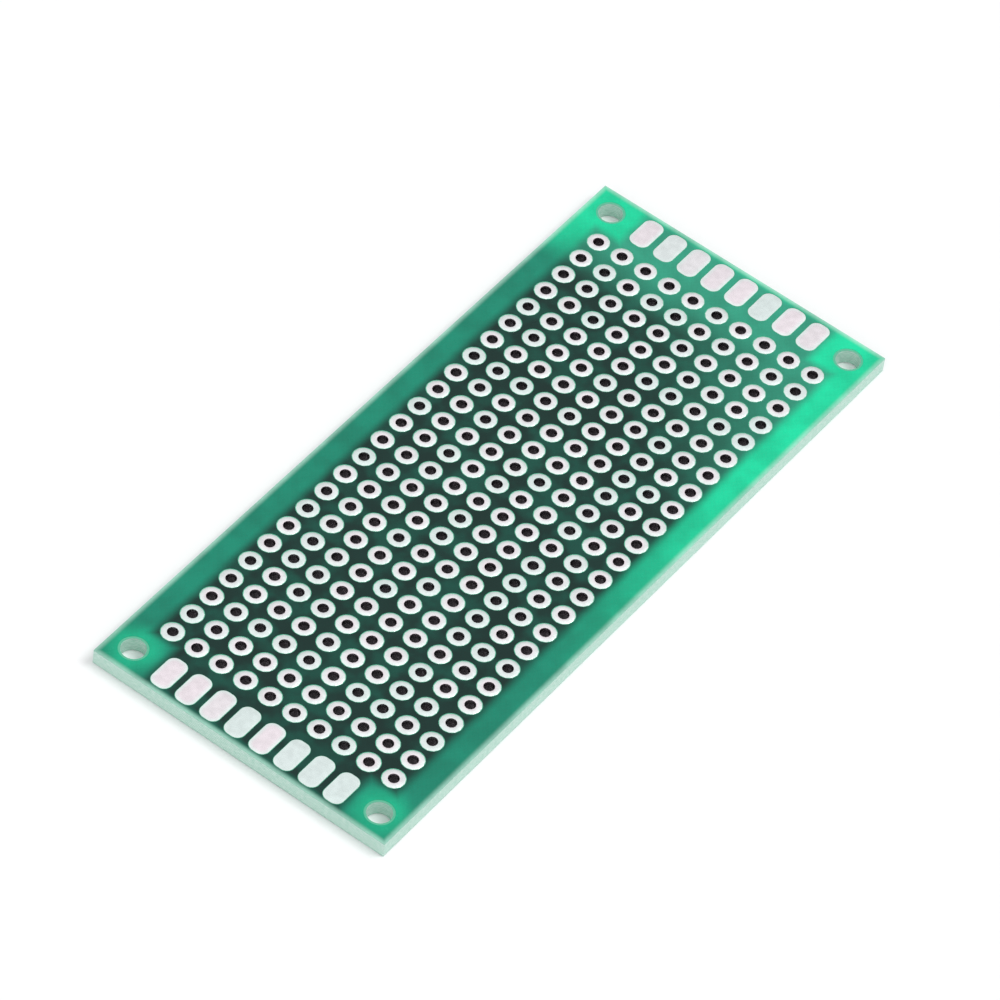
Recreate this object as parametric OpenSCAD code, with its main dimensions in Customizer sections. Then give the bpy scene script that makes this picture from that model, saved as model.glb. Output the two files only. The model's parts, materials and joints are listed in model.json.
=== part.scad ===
/* [Board] */
// Length of the board
board_l = 70; // [30:0.5:110]
// Width of the board
board_w = 30; // [20:0.5:48]
// Thickness of the glass-epoxy substrate
substrate_t = 1.5; // [0.4:0.1:3.2]
// Thickness of the solder mask on each face
mask_t = 0.03; // [0.015:0.005:0.06]
// Clearance between the mask and the pads
mask_gap = 0.05; // [0.02:0.01:0.07]

/* [Plated holes] */
// Distance between neighbouring holes, along and across
pitch = 2.54; // [2.2:0.01:5.08]
// Diameter of a finished hole
hole_d = 1; // [0.6:0.05:1.4]
// Thickness of the plating in a hole
plating_t = 0.035; // [0.02:0.005:0.08]
// Diameter of a round pad
pad_d = 2; // [1.6:0.05:2.05]
// Thickness of the copper foil under a pad's tin
foil_t = 0.035; // [0.018:0.001:0.105]
// Height of the tin's crown over the foil
tin_h = 0.045; // [0.01:0.005:0.1]
// Least distance from a round pad to a long side
side_margin = 2; // [1:0.1:4]
// Least gap between the round pads and the end pads
end_gap = 0.4; // [0.2:0.1:3]

/* [End pads] */
// Length of an end pad, along the board
end_pad_l = 3.4; // [2.5:0.1:5]
// Width of an end pad
end_pad_w = 1.9; // [1.2:0.05:2.05]
// Corner radius of an end pad
end_pad_r = 0.75; // [0.1:0.05:0.9]
// Distance from an end pad to the board's end
end_pad_inset = 0.5; // [0.2:0.1:2]
// Holes at each side of a row that have no end pad in line with them
holes_skipped = 1; // [1:1:3]

/* [Corner holes] */
// Diameter of a mounting hole
corner_hole_d = 2.2; // [1.6:0.1:3]
// Distance from a mounting hole's centre to both edges
corner_inset = 2.3; // [2:0.1:2.8]
// Clearance between the mask and a mounting hole
corner_mask_gap = 0.2; // [0.05:0.05:0.4]

/* [Hidden] */
$fn = 48;
crown_fn = 360; // steps of the large circle that a crown of tin is a short arc of
least_straight = 0.02; // between the two corners at an end pad's end
mask_color = "#188766";
tin_color = "#dcdee2";
substrate_color = "#c3dccb";

pad_h = foil_t + tin_h;
mid_z = pad_h + substrate_t / 2;
hole_r = hole_d / 2;
drill_r = hole_r + plating_t;
pad_r = pad_d / 2;

// The grid takes as many rows and holes as the board has room for
end_margin = end_pad_inset + end_pad_l + end_gap;
rows = floor((board_l - 2 * end_margin - pad_d) / pitch) + 1;
holes = floor((board_w - 2 * side_margin - pad_d) / pitch) + 1;

// The end pads are in line with the inner holes of a row
end_pads = holes - 2 * holes_skipped;
end_pad_x = board_l / 2 - end_pad_inset - end_pad_l / 2;
end_pad_corner = min(end_pad_r, (end_pad_w - least_straight) / 2);

function two_digits(i) = str(i < 10 ? "0" : "", i);
row_names = [for (i = [1:rows]) str("plated_holes_", two_digits(i))];
left_names = [for (i = [1:end_pads]) str("left_end_pads_", i)];
right_names = [for (i = [1:end_pads]) str("right_end_pads_", i)];

// Places of the rows along the board, and of the holes across it
function row_x(i) = (i - (rows + 1) / 2) * pitch;
function hole_y(j) = (j - (holes + 1) / 2) * pitch;

module at_holes_of_row(i) {
    for (j = [1:holes])
        translate([row_x(i), hole_y(j)]) children();
}

module at_grid() {
    for (i = [1:rows])
        at_holes_of_row(i) children();
}

module at_corners() {
    for (x = [-1, 1], y = [-1, 1])
        translate([x * (board_l / 2 - corner_inset), y * (board_w / 2 - corner_inset)])
            children();
}

// end is -1 at the left and 1 at the right
module at_end_pad(end, i) {
    translate([end * end_pad_x, hole_y(holes_skipped + i)]) children();
}

// The same piece on both faces of the board, drawn with its foot on z = 0
module on_both_faces() {
    for (side = [0, 1])
        translate([0, 0, mid_z]) mirror([0, 0, side])
            translate([0, 0, substrate_t / 2]) children();
}

// Outline of an end pad, grown all round
module end_pad_outline(grow = 0) {
    l = end_pad_l / 2 - end_pad_corner;
    w = end_pad_w / 2 - end_pad_corner;
    r = end_pad_corner + grow;
    square([2 * l, 2 * (w + r)], center = true);
    square([2 * (l + r), 2 * w], center = true);
    for (x = [-l, l], y = [-w, w])
        translate([x, y]) circle(r);
}

// Segment of a circle on a chord w wide, h high, with its chord on the x axis
module cap(w, h) {
    r = (w * w / 4 + h * h) / (2 * h);
    intersection() {
        translate([0, h - r]) circle(r, $fn = crown_fn);
        translate([-w / 2, 0]) square([w, h]);
    }
}

// Half of a cap, with its full height at x = 0
module half_cap(w, h) {
    intersection() {
        cap(2 * w, h);
        square([w, h]);
    }
}

// Tin along one straight side of an end pad, l long, falling towards +y from y = 0
module tin_side(l) {
    rotate([90, 0, 90]) linear_extrude(l, center = true) half_cap(end_pad_corner, tin_h);
}

// Tin on an end pad: flat in the middle, and falling to the foil all round
module end_pad_tin() {
    l = end_pad_l - 2 * end_pad_corner;
    w = end_pad_w - 2 * end_pad_corner;
    translate([-l / 2, -w / 2, 0]) cube([l, w, tin_h]);
    for (a = [0, 180]) rotate([0, 0, a]) {
        translate([0, w / 2, 0]) tin_side(l);
        translate([l / 2, 0, 0]) rotate([0, 0, -90]) tin_side(w);
        translate([l / 2, w / 2, 0])
            rotate_extrude(angle = 90) half_cap(end_pad_corner, tin_h);
        translate([-l / 2, w / 2, 0]) rotate([0, 0, 90])
            rotate_extrude(angle = 90) half_cap(end_pad_corner, tin_h);
    }
}

module end_pad() {
    linear_extrude(foil_t) end_pad_outline();
    translate([0, 0, foil_t]) end_pad_tin();
}

module end_pad_pair(end, i) {
    color(tin_color) on_both_faces() at_end_pad(end, i) end_pad();
}

// Section of a plated hole: the barrel, and at each end the foil of a pad under its crown of tin
module plated_hole_section() {
    w = pad_r - hole_r;
    translate([hole_r, -substrate_t / 2]) square([plating_t, substrate_t]);
    for (side = [0, 1])
        mirror([0, side]) translate([hole_r, substrate_t / 2]) {
            square([w, foil_t]);
            translate([w / 2, foil_t]) cap(w, tin_h);
        }
}

module plated_hole() {
    rotate_extrude() plated_hole_section();
}

module plated_hole_row(i) {
    color(tin_color) translate([0, 0, mid_z]) at_holes_of_row(i) plated_hole();
}

module substrate() {
    color(substrate_color) translate([0, 0, pad_h]) linear_extrude(substrate_t)
        difference() {
            square([board_l, board_w], center = true);
            at_grid() circle(drill_r);
            at_corners() circle(d = corner_hole_d);
        }
}

module solder_mask() {
    linear_extrude(mask_t) difference() {
        square([board_l, board_w], center = true);
        at_grid() circle(pad_r + mask_gap);
        at_corners() circle(corner_hole_d / 2 + corner_mask_gap);
        for (end = [-1, 1], i = [1:end_pads])
            at_end_pad(end, i) end_pad_outline(mask_gap);
    }
}

module front_solder_mask() {
    color(mask_color) translate([0, 0, pad_h + substrate_t]) solder_mask();
}

module back_solder_mask() {
    color(mask_color) translate([0, 0, pad_h - mask_t]) solder_mask();
}

substrate();
front_solder_mask();
back_solder_mask();
for (i = [1:rows])
    plated_hole_row(i);
for (i = [1:end_pads])
    end_pad_pair(-1, i);
for (i = [1:end_pads])
    end_pad_pair(1, i);
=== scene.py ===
import json
import math

import bpy
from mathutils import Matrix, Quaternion, Vector


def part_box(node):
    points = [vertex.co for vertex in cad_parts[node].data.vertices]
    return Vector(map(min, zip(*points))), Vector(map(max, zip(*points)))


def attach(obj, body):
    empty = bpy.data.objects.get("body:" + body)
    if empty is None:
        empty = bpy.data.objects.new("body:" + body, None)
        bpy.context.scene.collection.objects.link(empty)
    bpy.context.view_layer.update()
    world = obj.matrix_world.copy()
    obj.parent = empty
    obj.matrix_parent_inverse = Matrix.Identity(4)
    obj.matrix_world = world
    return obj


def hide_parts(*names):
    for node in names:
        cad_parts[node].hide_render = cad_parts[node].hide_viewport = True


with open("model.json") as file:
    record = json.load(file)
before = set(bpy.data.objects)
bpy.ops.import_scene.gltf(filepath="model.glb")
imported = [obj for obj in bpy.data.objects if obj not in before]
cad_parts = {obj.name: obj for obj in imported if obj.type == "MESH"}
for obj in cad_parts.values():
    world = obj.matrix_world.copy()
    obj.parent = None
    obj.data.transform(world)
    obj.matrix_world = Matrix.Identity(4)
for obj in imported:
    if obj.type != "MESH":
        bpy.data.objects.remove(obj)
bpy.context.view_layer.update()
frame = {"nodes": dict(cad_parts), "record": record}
mm = 0.001

# what the frame says about the board
substrateLow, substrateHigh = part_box("substrate")
boardHalfLength = substrateHigh.x
boardHalfWidth = substrateHigh.y
boardMiddle = (substrateLow.z + substrateHigh.z) / 2
substrateHalf = (substrateHigh.z - substrateLow.z) / 2
mounts = {mount["name"]: mount["dims"] for mount in frame["record"]["mounts"]}
cornerHoles = mounts["corner_holes"]
holeRows = sorted(name for name in frame["nodes"] if name.startswith("plated_holes_"))
endPadNodes = sorted(name for name in frame["nodes"] if "_end_pads_" in name)


def centreOf(node):
    low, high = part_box(node)
    return (low + high) / 2


firstLow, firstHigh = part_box(holeRows[0])
padRadius = (firstHigh.x - firstLow.x) / 2
endPadLow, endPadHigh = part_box(endPadNodes[0])
endPadGap = boardHalfLength + endPadLow.x  # from the board's end to the end pads
crownTop = firstHigh.z - substrateHigh.z  # from the substrate to the top of the tin
pitch = centreOf(holeRows[1]).x - centreOf(holeRows[0]).x
holesAcross = round((firstHigh.y - firstLow.y - 2 * padRadius) / pitch) + 1
gridHalfLength = centreOf(holeRows[-1]).x
gridHalfWidth = (holesAcross - 1) * pitch / 2
print("frame: %d rows of %d holes, %d pairs of end pads" % (len(holeRows), holesAcross, len(endPadNodes)))


# small helpers for node trees
def addNode(tree, kind, inputs=None, **settings):
    node = tree.nodes.new(kind)
    for key, value in settings.items():
        setattr(node, key, value)
    for key, value in (inputs or {}).items():
        if isinstance(value, bpy.types.NodeSocket):
            tree.links.new(value, node.inputs[key])
        else:
            node.inputs[key].default_value = value
    return node


def maths(tree, operation, first, second=0.0, third=None):
    inputs = {0: first, 1: second}
    if third is not None:
        inputs[2] = third
    return addNode(tree, "ShaderNodeMath", inputs, operation=operation).outputs[0]


def ramp(tree, value, start, end, low=0.0, high=1.0):
    node = addNode(
        tree, "ShaderNodeMapRange",
        {"Value": value, "From Min": start, "From Max": end, "To Min": low, "To Max": high},
        interpolation_type="SMOOTHSTEP",
    )
    return node.outputs["Result"]


def blendColours(tree, amount, first, second, way="MIX"):
    node = addNode(tree, "ShaderNodeMix", data_type="RGBA", blend_type=way)
    for key, value in (("Factor", amount), (6, first), (7, second)):
        if isinstance(value, bpy.types.NodeSocket):
            tree.links.new(value, node.inputs[key])
        else:
            node.inputs[key].default_value = value
    return node.outputs[2]


# from sRGB, 0 to 255, to the linear colour that a shader takes
def colour(red, green, blue):
    def linear(value):
        share = value / 255
        return share / 12.92 if share <= 0.04045 else ((share + 0.055) / 1.055) ** 2.4
    return (linear(red), linear(green), linear(blue), 1.0)


def newMaterial(name):
    material = bpy.data.materials.new(name)
    material.use_nodes = True
    tree = material.node_tree
    tree.nodes.clear()
    surface = addNode(tree, "ShaderNodeBsdfPrincipled")
    output = addNode(tree, "ShaderNodeOutputMaterial")
    tree.links.new(surface.outputs["BSDF"], output.inputs["Surface"])
    return material, tree, surface


# the object's own coordinates, counted in millimetres
def millimetres(tree):
    place = addNode(tree, "ShaderNodeTexCoord").outputs["Object"]
    return addNode(tree, "ShaderNodeVectorMath", {0: place, "Scale": 1 / mm}, operation="SCALE").outputs[0]


noiseSpan = (0.3, 0.7)  # where most of a noise's values lie


def noise(tree, place, scale, detail=2.0, roughness=0.5):
    node = addNode(
        tree, "ShaderNodeTexNoise",
        {"Vector": place, "Scale": scale, "Detail": detail, "Roughness": roughness},
    )
    return node.outputs["Fac"]


def bump(tree, height, depth, normal=None):
    inputs = {"Height": height, "Distance": depth, "Strength": 1.0}
    if normal is not None:
        inputs["Normal"] = normal
    return addNode(tree, "ShaderNodeBump", inputs).outputs["Normal"]


# green solder mask over the glass cloth
maskLook = {
    "border": colour(20, 134, 108),
    "borderBright": colour(24, 216, 160),
    "edge": colour(178, 226, 208),
    "web": colour(8, 46, 40),
    "webBright": colour(52, 160, 130),
    "webPatch": colour(14, 92, 76),
    "edgeWidth": 0.55,  # mm
    "edgeGlow": 0.7,  # share of the edge colour at the very edge
    "shadeFrom": -0.4,  # mm beyond the pads, where the dark zone starts to fade
    "shadeReach": 0.8,  # mm beyond the pads, where it ends
    "cornerReach": 3.3,  # mm from the middle of a corner hole
    "cornerGlow": 0.45,
    "sideLight": -0.57,  # how much brighter one long side is than the other
    "lightShift": -0.09,
    "webLit": (0.45, 1.35),  # where the light starts and stops to gain between the pads
    "endLit": (0.68, 0.87),  # shares of the half length, where the bright end starts and is full
    "endGlow": 0.95,
    "patchScale": 0.42,
    "patchEdges": (0.42, 0.68),
    "patchShare": 0.5,
    "cloudScale": 0.35,
    "cloudTones": (0.86, 1.1),
    "clothPitch": (0.62, 0.5),  # mm, along and across
    "clothTone": 0.022,
    "clothDepth": 0.0012 * mm,
    "peelScale": 2.6,
    "peelDepth": 0.006 * mm,
    "roughness": (0.19, 0.31),
    "roughScale": 1.3,
    "specular": 0.22,
}


def solderMaskMaterial(look):
    material, tree, surface = newMaterial("solderMask")
    place = millimetres(tree)
    parts = addNode(tree, "ShaderNodeSeparateXYZ", {0: place})
    x = parts.outputs["X"]
    y = parts.outputs["Y"]
    absX = maths(tree, "ABSOLUTE", x)
    absY = maths(tree, "ABSOLUTE", y)
    # light gets in at the cut edges, so the mask glows beside them
    fromEdge = maths(
        tree, "MINIMUM",
        maths(tree, "SUBTRACT", boardHalfLength / mm, absX),
        maths(tree, "SUBTRACT", boardHalfWidth / mm, absY),
    )
    glow = ramp(tree, fromEdge, 0.0, look["edgeWidth"], 1.0, 0.0)
    # the copper on both faces keeps light out of the substrate between the pads
    def beyond(halfLength, halfWidth):
        return maths(
            tree, "MAXIMUM",
            maths(tree, "SUBTRACT", absX, halfLength / mm), maths(tree, "SUBTRACT", absY, halfWidth / mm),
        )

    fromCopper = maths(
        tree, "MINIMUM",
        beyond(gridHalfLength + padRadius, gridHalfWidth + padRadius),
        beyond(boardHalfLength - endPadGap, gridHalfWidth - pitch + padRadius),
    )
    shade = ramp(tree, fromCopper, look["shadeFrom"], look["shadeReach"], 1.0, 0.0)
    # more light comes through along one long side, at one end and round the corner holes
    sideLight = look["sideLight"] * mm / boardHalfWidth
    lightSide = maths(tree, "MULTIPLY_ADD", y, sideLight, look["lightShift"])
    lit = maths(tree, "MULTIPLY_ADD", x, mm / boardHalfLength, lightSide)
    endFrom, endFull = (share * boardHalfLength / mm for share in look["endLit"])
    litEnd = ramp(tree, x, endFrom, endFull, 0.0, look["endGlow"])
    through = maths(tree, "MAXIMUM", ramp(tree, lit, 0.0, 1.0), litEnd)
    awayX = maths(tree, "SUBTRACT", absX, cornerHoles["spacing_x_mm"] / 2)
    awayY = maths(tree, "SUBTRACT", absY, cornerHoles["spacing_y_mm"] / 2)
    awaySquared = maths(tree, "MULTIPLY_ADD", awayX, awayX, maths(tree, "MULTIPLY", awayY, awayY))
    fromCorner = maths(tree, "SQRT", awaySquared)
    holeEdge = cornerHoles["hole_r_mm"]
    atCorner = ramp(tree, fromCorner, holeEdge, look["cornerReach"], look["cornerGlow"], 0.0)
    through = maths(tree, "MAXIMUM", through, atCorner)
    border = blendColours(tree, through, look["border"], look["borderBright"])
    throughWeb = maths(tree, "MAXIMUM", ramp(tree, lit, *look["webLit"]), litEnd)
    patchNoise = noise(tree, place, look["patchScale"])
    patches = ramp(tree, patchNoise, *look["patchEdges"], 0.0, look["patchShare"])
    web = blendColours(tree, patches, look["web"], look["webPatch"])
    web = blendColours(tree, throughWeb, web, look["webBright"])
    green = blendColours(tree, shade, border, web)
    green = blendColours(tree, maths(tree, "MULTIPLY", glow, look["edgeGlow"]), green, look["edge"])
    # cloudy ink, and the cloth that shows through it
    cloudNoise = noise(tree, place, look["cloudScale"], 4.0)
    clouds = ramp(tree, cloudNoise, *noiseSpan, *look["cloudTones"])
    clothX = maths(tree, "SINE", maths(tree, "MULTIPLY", x, 2 * math.pi / look["clothPitch"][0]))
    clothY = maths(tree, "SINE", maths(tree, "MULTIPLY", y, 2 * math.pi / look["clothPitch"][1]))
    cloth = maths(tree, "MULTIPLY", clothX, clothY)
    tone = maths(tree, "MULTIPLY_ADD", cloth, look["clothTone"], clouds)
    toneColour = addNode(tree, "ShaderNodeCombineColor", {0: tone, 1: tone, 2: tone}).outputs[0]
    green = blendColours(tree, 1.0, green, toneColour, "MULTIPLY")
    tree.links.new(green, surface.inputs["Base Color"])
    roughNoise = noise(tree, place, look["roughScale"], 3.0)
    rough = ramp(tree, roughNoise, *noiseSpan, *look["roughness"])
    tree.links.new(rough, surface.inputs["Roughness"])
    surface.inputs["Specular IOR Level"].default_value = look["specular"]
    peel = bump(tree, noise(tree, place, look["peelScale"]), look["peelDepth"])
    weave = bump(tree, cloth, look["clothDepth"], peel)
    tree.links.new(weave, surface.inputs["Normal"])
    return material


# hot-air levelled tin over copper
tinLook = {
    "warm": colour(245, 235, 241),
    "cool": colour(234, 247, 245),
    # painted highlight: the pads' outer slopes lighter, as the crown there catches more of the bright room
    "rimHighlight": colour(239, 253, 250),
    # painted shade down in the holes
    "barrel": colour(112, 106, 111),
    "tintEdges": (0.35, 1.0),  # a pad's own tone, from where it is warm to where it is cool
    "holeShadeDepth": 0.25,  # mm down the hole, where the painted shade is full
    "holeShadeStart": 0.03,  # mm above the substrate, where the painted shade starts
    "padShade": -0.08,  # how much darker the darkest pad is
    "stainScale": 1.7,
    "stainEdges": (0.25, 0.75),
    "stainTones": (0.9, 1.0),
    "roughness": (0.19, 0.36),
    "roughScale": 5.0,
    "swellScale": 1.5,
    "swellDepth": 0.016 * mm,
    "grainScale": 14.0,
    "grainDepth": 0.0005 * mm,
}


def tinMaterial(look):
    material, tree, surface = newMaterial("tinnedCopper")
    place = millimetres(tree)
    rimHighlight = addNode(tree, "ShaderNodeAttribute", attribute_name="rimHighlight").outputs["Fac"]
    tone = addNode(tree, "ShaderNodeAttribute", attribute_name="padTone").outputs["Fac"]
    metal = blendColours(tree, ramp(tree, tone, *look["tintEdges"]), look["warm"], look["cool"])
    # painted highlight: lighter towards each pad's outer edge
    metal = blendColours(tree, rimHighlight, metal, look["rimHighlight"])
    # painted shade: the plating darkens down in the hole, where less light reaches
    height = addNode(tree, "ShaderNodeSeparateXYZ", {0: place}).outputs["Z"]
    aside = maths(tree, "ABSOLUTE", maths(tree, "SUBTRACT", height, boardMiddle / mm))
    face = substrateHalf / mm
    depth = ramp(tree, aside, face - look["holeShadeDepth"], face + look["holeShadeStart"], 1.0, 0.0)
    metal = blendColours(tree, depth, metal, look["barrel"])
    stainNoise = noise(tree, place, look["stainScale"], 3.0)
    stain = ramp(tree, stainNoise, *look["stainEdges"], *look["stainTones"])
    shade = maths(tree, "MULTIPLY_ADD", tone, look["padShade"], stain)
    shadeColour = addNode(tree, "ShaderNodeCombineColor", {0: shade, 1: shade, 2: shade}).outputs[0]
    metal = blendColours(tree, 1.0, metal, shadeColour, "MULTIPLY")
    tree.links.new(metal, surface.inputs["Base Color"])
    surface.inputs["Metallic"].default_value = 1.0
    roughNoise = noise(tree, place, look["roughScale"], 3.0)
    rough = ramp(tree, roughNoise, *noiseSpan, *look["roughness"])
    tree.links.new(rough, surface.inputs["Roughness"])
    swell = bump(tree, noise(tree, place, look["swellScale"], 0.0), look["swellDepth"])
    grain = bump(tree, noise(tree, place, look["grainScale"]), look["grainDepth"], swell)
    tree.links.new(grain, surface.inputs["Normal"])
    return material


# cut and drilled glass-epoxy
substrateLook = {
    "resin": colour(160, 208, 190),
    "glass": colour(218, 238, 229),
    "face": colour(92, 186, 152),
    "plies": 8,
    "plyShare": 0.17,
    "plyRipple": 2.2,
    "rippleScale": 0.9,
    "glassEdges": (0.25, 0.8),
    "bundle": 0.5,  # mm
    "bundleScale": 1.4,
    "bundleFlat": 6.0,  # how much finer the bundles are through the thickness
    "faceDepth": 0.02,  # mm down from a face, where the cut colour is full
    "roughness": 0.55,
    "specular": 0.4,
    "depth": 0.012 * mm,
}


def substrateMaterial(look):
    material, tree, surface = newMaterial("glassEpoxy")
    place = millimetres(tree)
    parts = addNode(tree, "ShaderNodeSeparateXYZ", {0: place})
    height = maths(tree, "SUBTRACT", parts.outputs["Z"], substrateLow.z / mm)
    turns = 2 * math.pi * look["plies"] * mm / (2 * substrateHalf)
    ripple = noise(tree, place, look["rippleScale"])
    phase = maths(tree, "MULTIPLY_ADD", ripple, look["plyRipple"], maths(tree, "MULTIPLY", height, turns))
    layers = maths(tree, "SINE", phase)
    bundleSize = (1 / look["bundle"], 1 / look["bundle"], look["bundleFlat"])
    flat = addNode(tree, "ShaderNodeMapping", {"Vector": place, "Scale": bundleSize}).outputs[0]
    bundles = noise(tree, flat, look["bundleScale"], 3.0, 0.6)
    glass = maths(tree, "MULTIPLY_ADD", layers, look["plyShare"], bundles)
    share = ramp(tree, glass, *look["glassEdges"])
    cut = blendColours(tree, share, look["resin"], look["glass"])
    # the flat faces, bare in the mask's openings, stay greener than the cut edges and bores
    aside = maths(tree, "ABSOLUTE", maths(tree, "SUBTRACT", parts.outputs["Z"], boardMiddle / mm))
    face = substrateHalf / mm
    onFace = ramp(tree, aside, face - look["faceDepth"], face - look["faceDepth"] / 4)
    tree.links.new(blendColours(tree, onFace, cut, look["face"]), surface.inputs["Base Color"])
    surface.inputs["Roughness"].default_value = look["roughness"]
    surface.inputs["Specular IOR Level"].default_value = look["specular"]
    tree.links.new(bump(tree, glass, look["depth"]), surface.inputs["Normal"])
    return material


solderMask = solderMaskMaterial(maskLook)
tinnedCopper = tinMaterial(tinLook)
glassEpoxy = substrateMaterial(substrateLook)


def dress(node, material):
    piece = frame["nodes"][node]
    piece.data.materials.clear()
    piece.data.materials.append(material)


dress("substrate", glassEpoxy)
dress("front_solder_mask", solderMask)
dress("back_solder_mask", solderMask)
print("materials: mask, tin and substrate")


sharpAngle = math.radians(60)  # a pad's rim and a hole's mouth are crisp, its crown is soft


# meshes with the numbers that the array and the material read at each point
def pointMesh(name, points, faces, facts):
    mesh = bpy.data.meshes.new(name)
    mesh.from_pydata(points, [], faces)
    for fact, values in facts.items():
        mesh.attributes.new(fact, "FLOAT", "POINT").data.foreach_set("value", values)
    mesh.shade_smooth()
    mesh.set_sharp_from_angle(angle=sharpAngle)
    return mesh


# height of a circular arc over its chord, reach away from the middle
def capHeight(reach, halfWidth, height):
    radius = (halfWidth ** 2 + height ** 2) / (2 * height)
    return math.sqrt(max(radius ** 2 - reach ** 2, 0.0)) - (radius - height)


# one plated hole: barrel, foil and crowned tin, turned round its own axis
platedHole = {
    "holeRadius": mounts["lead_hole_first"]["r_mm"] * mm,
    "plating": 0.035 * mm,
    "foil": 0.035 * mm,
    "segments": 12,
    "uneven": 0.016 * mm,  # how much lower the thinnest crown is
    "lean": 0.014 * mm,  # how much lower a crown is at one side
    "seed": 11,
}


def platedHoleMesh(hole):
    # (radius, height, share of the tin's height) from the drilled wall round to the finished hole
    front = (
        (hole["holeRadius"] + hole["plating"], substrateHalf, 0.0),
        (padRadius, substrateHalf, 0.0),
        ((hole["holeRadius"] + padRadius) / 2, substrateHalf + crownTop, 1.0),
        (hole["holeRadius"], substrateHalf + hole["foil"], 0.0),
    )
    back = tuple((radius, -height, -share) for radius, height, share in reversed(front))
    section = front + back
    count = hole["segments"]
    points, tinUp, leanUp, rimHighlight = [], [], [], []
    for radius, height, share in section:
        for turn in range(count):
            angle = 2 * math.pi * turn / count
            points.append((radius * math.cos(angle), radius * math.sin(angle), height))
            tinUp.append(share)
            leanUp.append(share * (0.5 - 0.5 * math.cos(angle)))
            # share of the painted rim highlight, from the hole's mouth out to the pad's edge
            rimHighlight.append((radius - hole["holeRadius"]) / (padRadius - hole["holeRadius"]))
    faces = []
    for ring in range(len(section)):
        after = (ring + 1) % len(section)
        for turn in range(count):
            beside = (turn + 1) % count
            faces.append((
                ring * count + turn, ring * count + beside, after * count + beside, after * count + turn
            ))
    return pointMesh("platedHole", points, faces, {"tinUp": tinUp, "leanUp": leanUp, "rimHighlight": rimHighlight})


# a crowned end pad on each face
endPad = {
    "foil": 0.035 * mm,
    "cornerRadius": 0.75 * mm,
    "cornerSteps": 8,
    "insets": (0.0, 0.05, 0.13, 0.28, 0.5, 0.75),  # shares of the corner radius, from the rim inwards
    "rimHighlightReach": 0.5,  # how far in the painted rim highlight reaches
    "uneven": 0.012 * mm,
    "lean": 0.02 * mm,
    "seed": 40,
}


def roundedOutline(halfLength, halfWidth, radius, steps):
    outline = []
    for corner, (sideX, sideY) in enumerate(((1, 1), (-1, 1), (-1, -1), (1, -1))):
        for step in range(steps + 1):
            angle = math.pi / 2 * (corner + step / steps)
            outline.append((
                sideX * (halfLength - radius) + radius * math.cos(angle),
                sideY * (halfWidth - radius) + radius * math.sin(angle),
            ))
    return outline


def endPadMesh(pad, halfLength, halfWidth):
    tin = crownTop - pad["foil"]
    radius = pad["cornerRadius"]
    rings = [(0.0, 0.0)]
    for inset in pad["insets"]:
        rings.append((inset * radius, pad["foil"] + capHeight(radius * (1 - inset), radius, tin)))
    points, faces, tinUp, leanUp, rimHighlight = [], [], [], [], []
    for side in (1, -1):
        base = len(points)
        for inset, height in rings:
            outline = roundedOutline(
                halfLength - inset, halfWidth - inset, radius - inset, pad["cornerSteps"]
            )
            share = side * max(height - pad["foil"], 0.0) / tin
            for x, y in outline:
                points.append((x, y, side * (substrateHalf + height)))
                tinUp.append(share)
                leanUp.append(share * (0.5 - 0.5 * x / halfLength))
                # share of the painted rim highlight, full at the pad's edge
                rimHighlight.append(max(1 - inset / (pad["rimHighlightReach"] * radius), 0.0))
        count = len(outline)
        quads = []
        for ring in range(len(rings) - 1):
            for turn in range(count):
                beside = (turn + 1) % count
                quads.append((
                    base + ring * count + turn, base + ring * count + beside,
                    base + (ring + 1) * count + beside, base + (ring + 1) * count + turn,
                ))
        top = base + (len(rings) - 1) * count
        quads.append(tuple(range(top, top + count)))
        quads.append(tuple(range(base + count - 1, base - 1, -1)))
        faces += quads if side > 0 else [tuple(reversed(quad)) for quad in quads]
    return pointMesh("endPad", points, faces, {"tinUp": tinUp, "leanUp": leanUp, "rimHighlight": rimHighlight})


toneSeedShift = 500.0  # so that a pad's tone doesn't follow its turn


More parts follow.
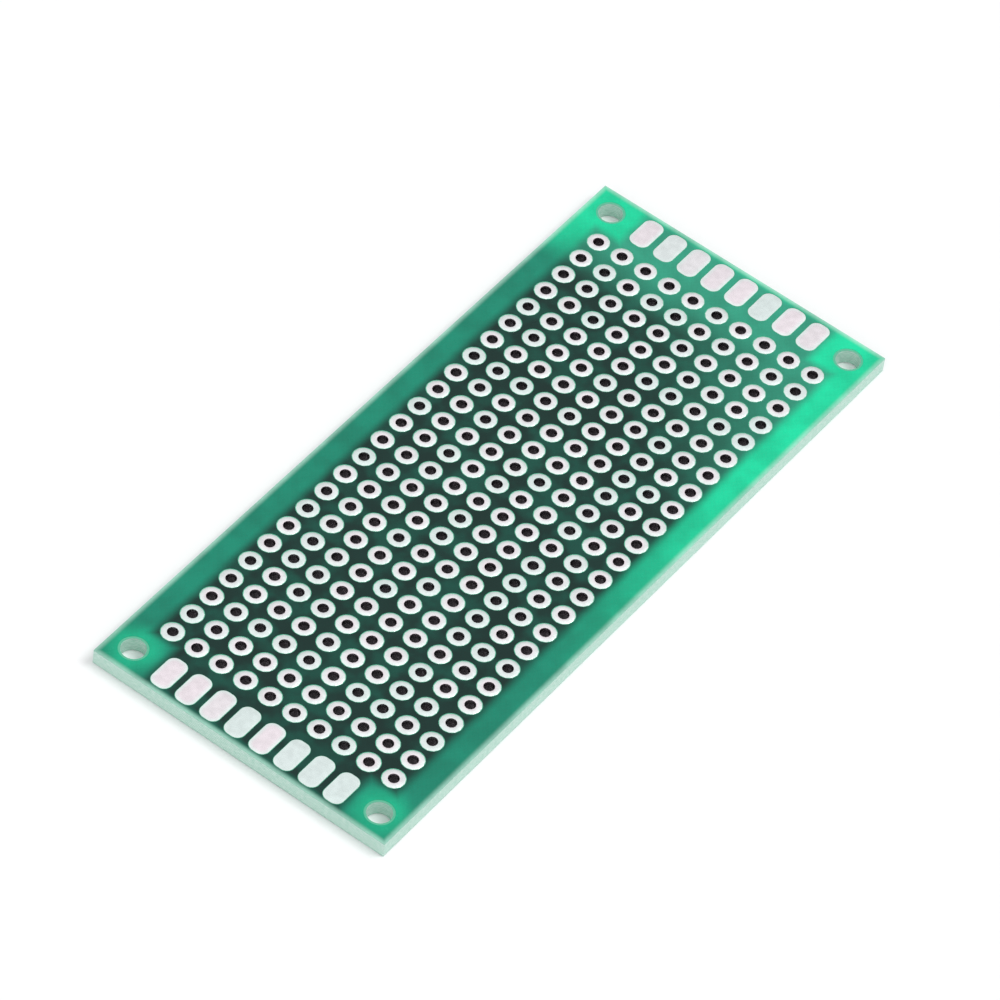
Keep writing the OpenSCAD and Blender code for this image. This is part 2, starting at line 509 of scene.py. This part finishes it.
# Geometry Nodes: pads set out in a line, each with its own turn, crown height and tone
def padLineTree():
    tree = bpy.data.node_groups.new("padLine", "GeometryNodeTree")
    sockets = {}
    wanted = (
        ("Geometry", "NodeSocketGeometry"), ("Count", "NodeSocketInt"), ("Pitch", "NodeSocketFloat"),
        ("Start", "NodeSocketVector"), ("Turn", "NodeSocketFloat"), ("Uneven", "NodeSocketFloat"),
        ("Lean", "NodeSocketFloat"), ("Seed", "NodeSocketInt"), ("Material", "NodeSocketMaterial"),
    )
    for name, kind in wanted:
        sockets[name] = tree.interface.new_socket(name=name, in_out="INPUT", socket_type=kind).identifier
    tree.interface.new_socket(name="Geometry", in_out="OUTPUT", socket_type="NodeSocketGeometry")
    given = addNode(tree, "NodeGroupInput").outputs
    offset = addNode(tree, "ShaderNodeCombineXYZ", {"Y": given["Pitch"]}).outputs[0]
    line = addNode(
        tree, "GeometryNodeMeshLine",
        {"Count": given["Count"], "Start Location": given["Start"], "Offset": offset},
        mode="OFFSET",
    ).outputs[0]
    most = addNode(tree, "ShaderNodeCombineXYZ", {"Z": given["Turn"]}).outputs[0]
    turn = addNode(
        tree, "FunctionNodeRandomValue", {"Max": most, "Seed": given["Seed"]}, data_type="FLOAT_VECTOR"
    ).outputs[0]
    placed = addNode(
        tree, "GeometryNodeInstanceOnPoints",
        {"Points": line, "Instance": given["Geometry"], "Rotation": turn},
    ).outputs[0]
    toneSeed = maths(tree, "ADD", given["Seed"], toneSeedShift)
    tone = addNode(tree, "FunctionNodeRandomValue", {"Seed": toneSeed}, data_type="FLOAT")
    toned = addNode(
        tree, "GeometryNodeStoreNamedAttribute",
        {"Geometry": placed, "Name": "padTone", "Value": tone.outputs[1]},
        data_type="FLOAT", domain="INSTANCE",
    ).outputs[0]
    real = addNode(tree, "GeometryNodeRealizeInstances", {"Geometry": toned}).outputs[0]

    def fact(name):
        reader = addNode(tree, "GeometryNodeInputNamedAttribute", {"Name": name}, data_type="FLOAT")
        return reader.outputs[0]

    tonedUp = maths(tree, "MULTIPLY", fact("tinUp"), fact("padTone"))
    lower = maths(tree, "MULTIPLY", tonedUp, given["Uneven"])
    tilted = maths(tree, "MULTIPLY_ADD", fact("leanUp"), given["Lean"], lower)
    down = addNode(tree, "ShaderNodeCombineXYZ", {"Z": maths(tree, "MULTIPLY", tilted, -1.0)}).outputs[0]
    shaped = addNode(tree, "GeometryNodeSetPosition", {"Geometry": real, "Offset": down}).outputs[0]
    finished = addNode(
        tree, "GeometryNodeSetMaterial", {"Geometry": shaped, "Material": given["Material"]}
    ).outputs[0]
    output = addNode(tree, "NodeGroupOutput")
    tree.links.new(finished, output.inputs[0])
    return tree, sockets


padLine, padLineSockets = padLineTree()


def setOutPads(name, mesh, values):
    piece = bpy.data.objects.new(name, mesh)
    bpy.context.scene.collection.objects.link(piece)
    maker = piece.modifiers.new("padLine", "NODES")
    maker.node_group = padLine
    for key, value in values.items():
        maker[padLineSockets[key]] = value
    maker[padLineSockets["Material"]] = tinnedCopper
    graph = bpy.context.evaluated_depsgraph_get()
    result = bpy.data.meshes.new_from_object(piece.evaluated_get(graph))
    piece.modifiers.clear()
    piece.data = result
    result.name = name
    return piece


holeMesh = platedHoleMesh(platedHole)
for index, node in enumerate(holeRows):
    row = setOutPads("platedHoles%02d" % (index + 1), holeMesh, {
        "Count": holesAcross,
        "Pitch": pitch,
        "Start": (centreOf(node).x, -gridHalfWidth, boardMiddle),
        "Turn": 2 * math.pi,
        "Uneven": platedHole["uneven"],
        "Lean": platedHole["lean"],
        "Seed": platedHole["seed"] + index,
    })
    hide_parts(node)
    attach(row, "root")
print("plated holes: %d rows" % len(holeRows))

for index, node in enumerate(endPadNodes):
    low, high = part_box(node)
    padMesh = endPadMesh(endPad, (high.x - low.x) / 2, (high.y - low.y) / 2)
    pads = setOutPads("endPads%02d" % (index + 1), padMesh, {
        "Count": 1,
        "Pitch": pitch,
        "Start": (centreOf(node).x, centreOf(node).y, boardMiddle),
        "Turn": 0.0,
        "Uneven": endPad["uneven"],
        "Lean": endPad["lean"],
        "Seed": endPad["seed"] + index,
    })
    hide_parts(node)
    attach(pads, "root")
print("end pads: %d pairs" % len(endPadNodes))


# pale floor
floorSheet = {
    "half": 3.0,
    "tint": colour(246, 246, 247),
    "lift": 0.08,
    "roughness": 0.9,
    "specular": 0.1,
}


def makeFloor(sheet):
    half = sheet["half"]
    mesh = bpy.data.meshes.new("floor")
    corners = [(-half, -half, 0), (half, -half, 0), (half, half, 0), (-half, half, 0)]
    mesh.from_pydata(corners, [], [(0, 1, 2, 3)])
    floor = bpy.data.objects.new("floor", mesh)
    bpy.context.scene.collection.objects.link(floor)
    material, tree, surface = newMaterial("floorPaper")
    surface.inputs["Base Color"].default_value = sheet["tint"]
    surface.inputs["Roughness"].default_value = sheet["roughness"]
    surface.inputs["Specular IOR Level"].default_value = sheet["specular"]
    # a little more white for what looks at the floor, so that it stays a clean background
    seen = addNode(tree, "ShaderNodeLightPath")
    looks = maths(tree, "MAXIMUM", seen.outputs["Is Camera Ray"], seen.outputs["Is Glossy Ray"])
    surface.inputs["Emission Color"].default_value = (1.0, 1.0, 1.0, 1.0)
    tree.links.new(maths(tree, "MULTIPLY", looks, sheet["lift"]), surface.inputs["Emission Strength"])
    mesh.materials.append(material)


makeFloor(floorSheet)


# soft studio light
worldLight = {"ambient": 0.55, "horizon": 0.42, "overhead": 1.05, "overheadFrom": 0.95}


def makeWorld(light):
    world = bpy.data.worlds.new("studio")
    bpy.context.scene.world = world
    world.use_nodes = True
    tree = world.node_tree
    tree.nodes.clear()
    ways = addNode(tree, "ShaderNodeLightPath").outputs
    direction = addNode(tree, "ShaderNodeTexCoord").outputs["Generated"]
    upward = addNode(tree, "ShaderNodeSeparateXYZ", {0: direction}).outputs["Z"]
    room = ramp(tree, upward, 0.0, light["overheadFrom"], light["horizon"], light["overhead"])
    glossy = ways["Is Glossy Ray"]
    mirrored = addNode(tree, "ShaderNodeMix", {"Factor": glossy, 2: light["ambient"], 3: room})
    seen = maths(tree, "MAXIMUM", ways["Is Camera Ray"], ways["Is Transmission Ray"])
    strength = addNode(tree, "ShaderNodeMix", {"Factor": seen, 2: mirrored.outputs[0], 3: 1.0}).outputs[0]
    white = (1.0, 1.0, 1.0, 1.0)
    background = addNode(tree, "ShaderNodeBackground", {"Color": white, "Strength": strength})
    output = addNode(tree, "ShaderNodeOutputWorld")
    tree.links.new(background.outputs[0], output.inputs[0])


makeWorld(worldLight)


# directions are (azimuth, elevation) of where the light comes from; 0 is from -Y and 90 from +X
lamps = (
    {"name": "key", "from": (35.0, 58.0), "share": 0.34, "spread": 28.0},
    {"name": "fill", "from": (-70.0, 38.0), "share": 0.14, "spread": 60.0},
)


def directionOf(azimuth, elevation):
    turn = math.radians(azimuth)
    rise = math.radians(elevation)
    return Vector((math.sin(turn) * math.cos(rise), -math.cos(turn) * math.cos(rise), math.sin(rise)))


for lamp in lamps:
    light = bpy.data.lights.new(lamp["name"], "SUN")
    upright = math.sin(math.radians(lamp["from"][1]))
    light.energy = lamp["share"] * math.pi / upright  # share of the light that a level white sheet gets
    light.angle = math.radians(lamp["spread"])
    holder = bpy.data.objects.new(lamp["name"], light)
    bpy.context.scene.collection.objects.link(holder)
    holder.rotation_mode = "QUATERNION"
    holder.rotation_quaternion = (-directionOf(*lamp["from"])).to_track_quat("-Z", "Y")
print("light: world and %d lamps" % len(lamps))


# the photograph's viewing angle, close in on this one board
cameraPlace = {
    "azimuth": -59.24,
    "elevation": 48.93,
    "distance": 0.5554,
    "roll": 8.52,
    "lens": 240.0,
    "sensor": 36.0,
    "reach": (0.01, 50.0),
}


def makeCamera(place):
    lens = bpy.data.cameras.new("camera")
    lens.lens = place["lens"]
    lens.sensor_width = place["sensor"]
    lens.clip_start, lens.clip_end = place["reach"]
    camera = bpy.data.objects.new("camera", lens)
    bpy.context.scene.collection.objects.link(camera)
    back = directionOf(place["azimuth"], place["elevation"])
    camera.location = Vector((0.0, 0.0, substrateHigh.z + crownTop)) + back * place["distance"]
    camera.rotation_mode = "QUATERNION"
    level = (-back).to_track_quat("-Z", "Y")
    camera.rotation_quaternion = level @ Quaternion((0.0, 0.0, 1.0), math.radians(place["roll"]))
    bpy.context.scene.camera = camera


makeCamera(cameraPlace)
bpy.context.scene.view_settings.view_transform = "Standard"
print("camera: set")
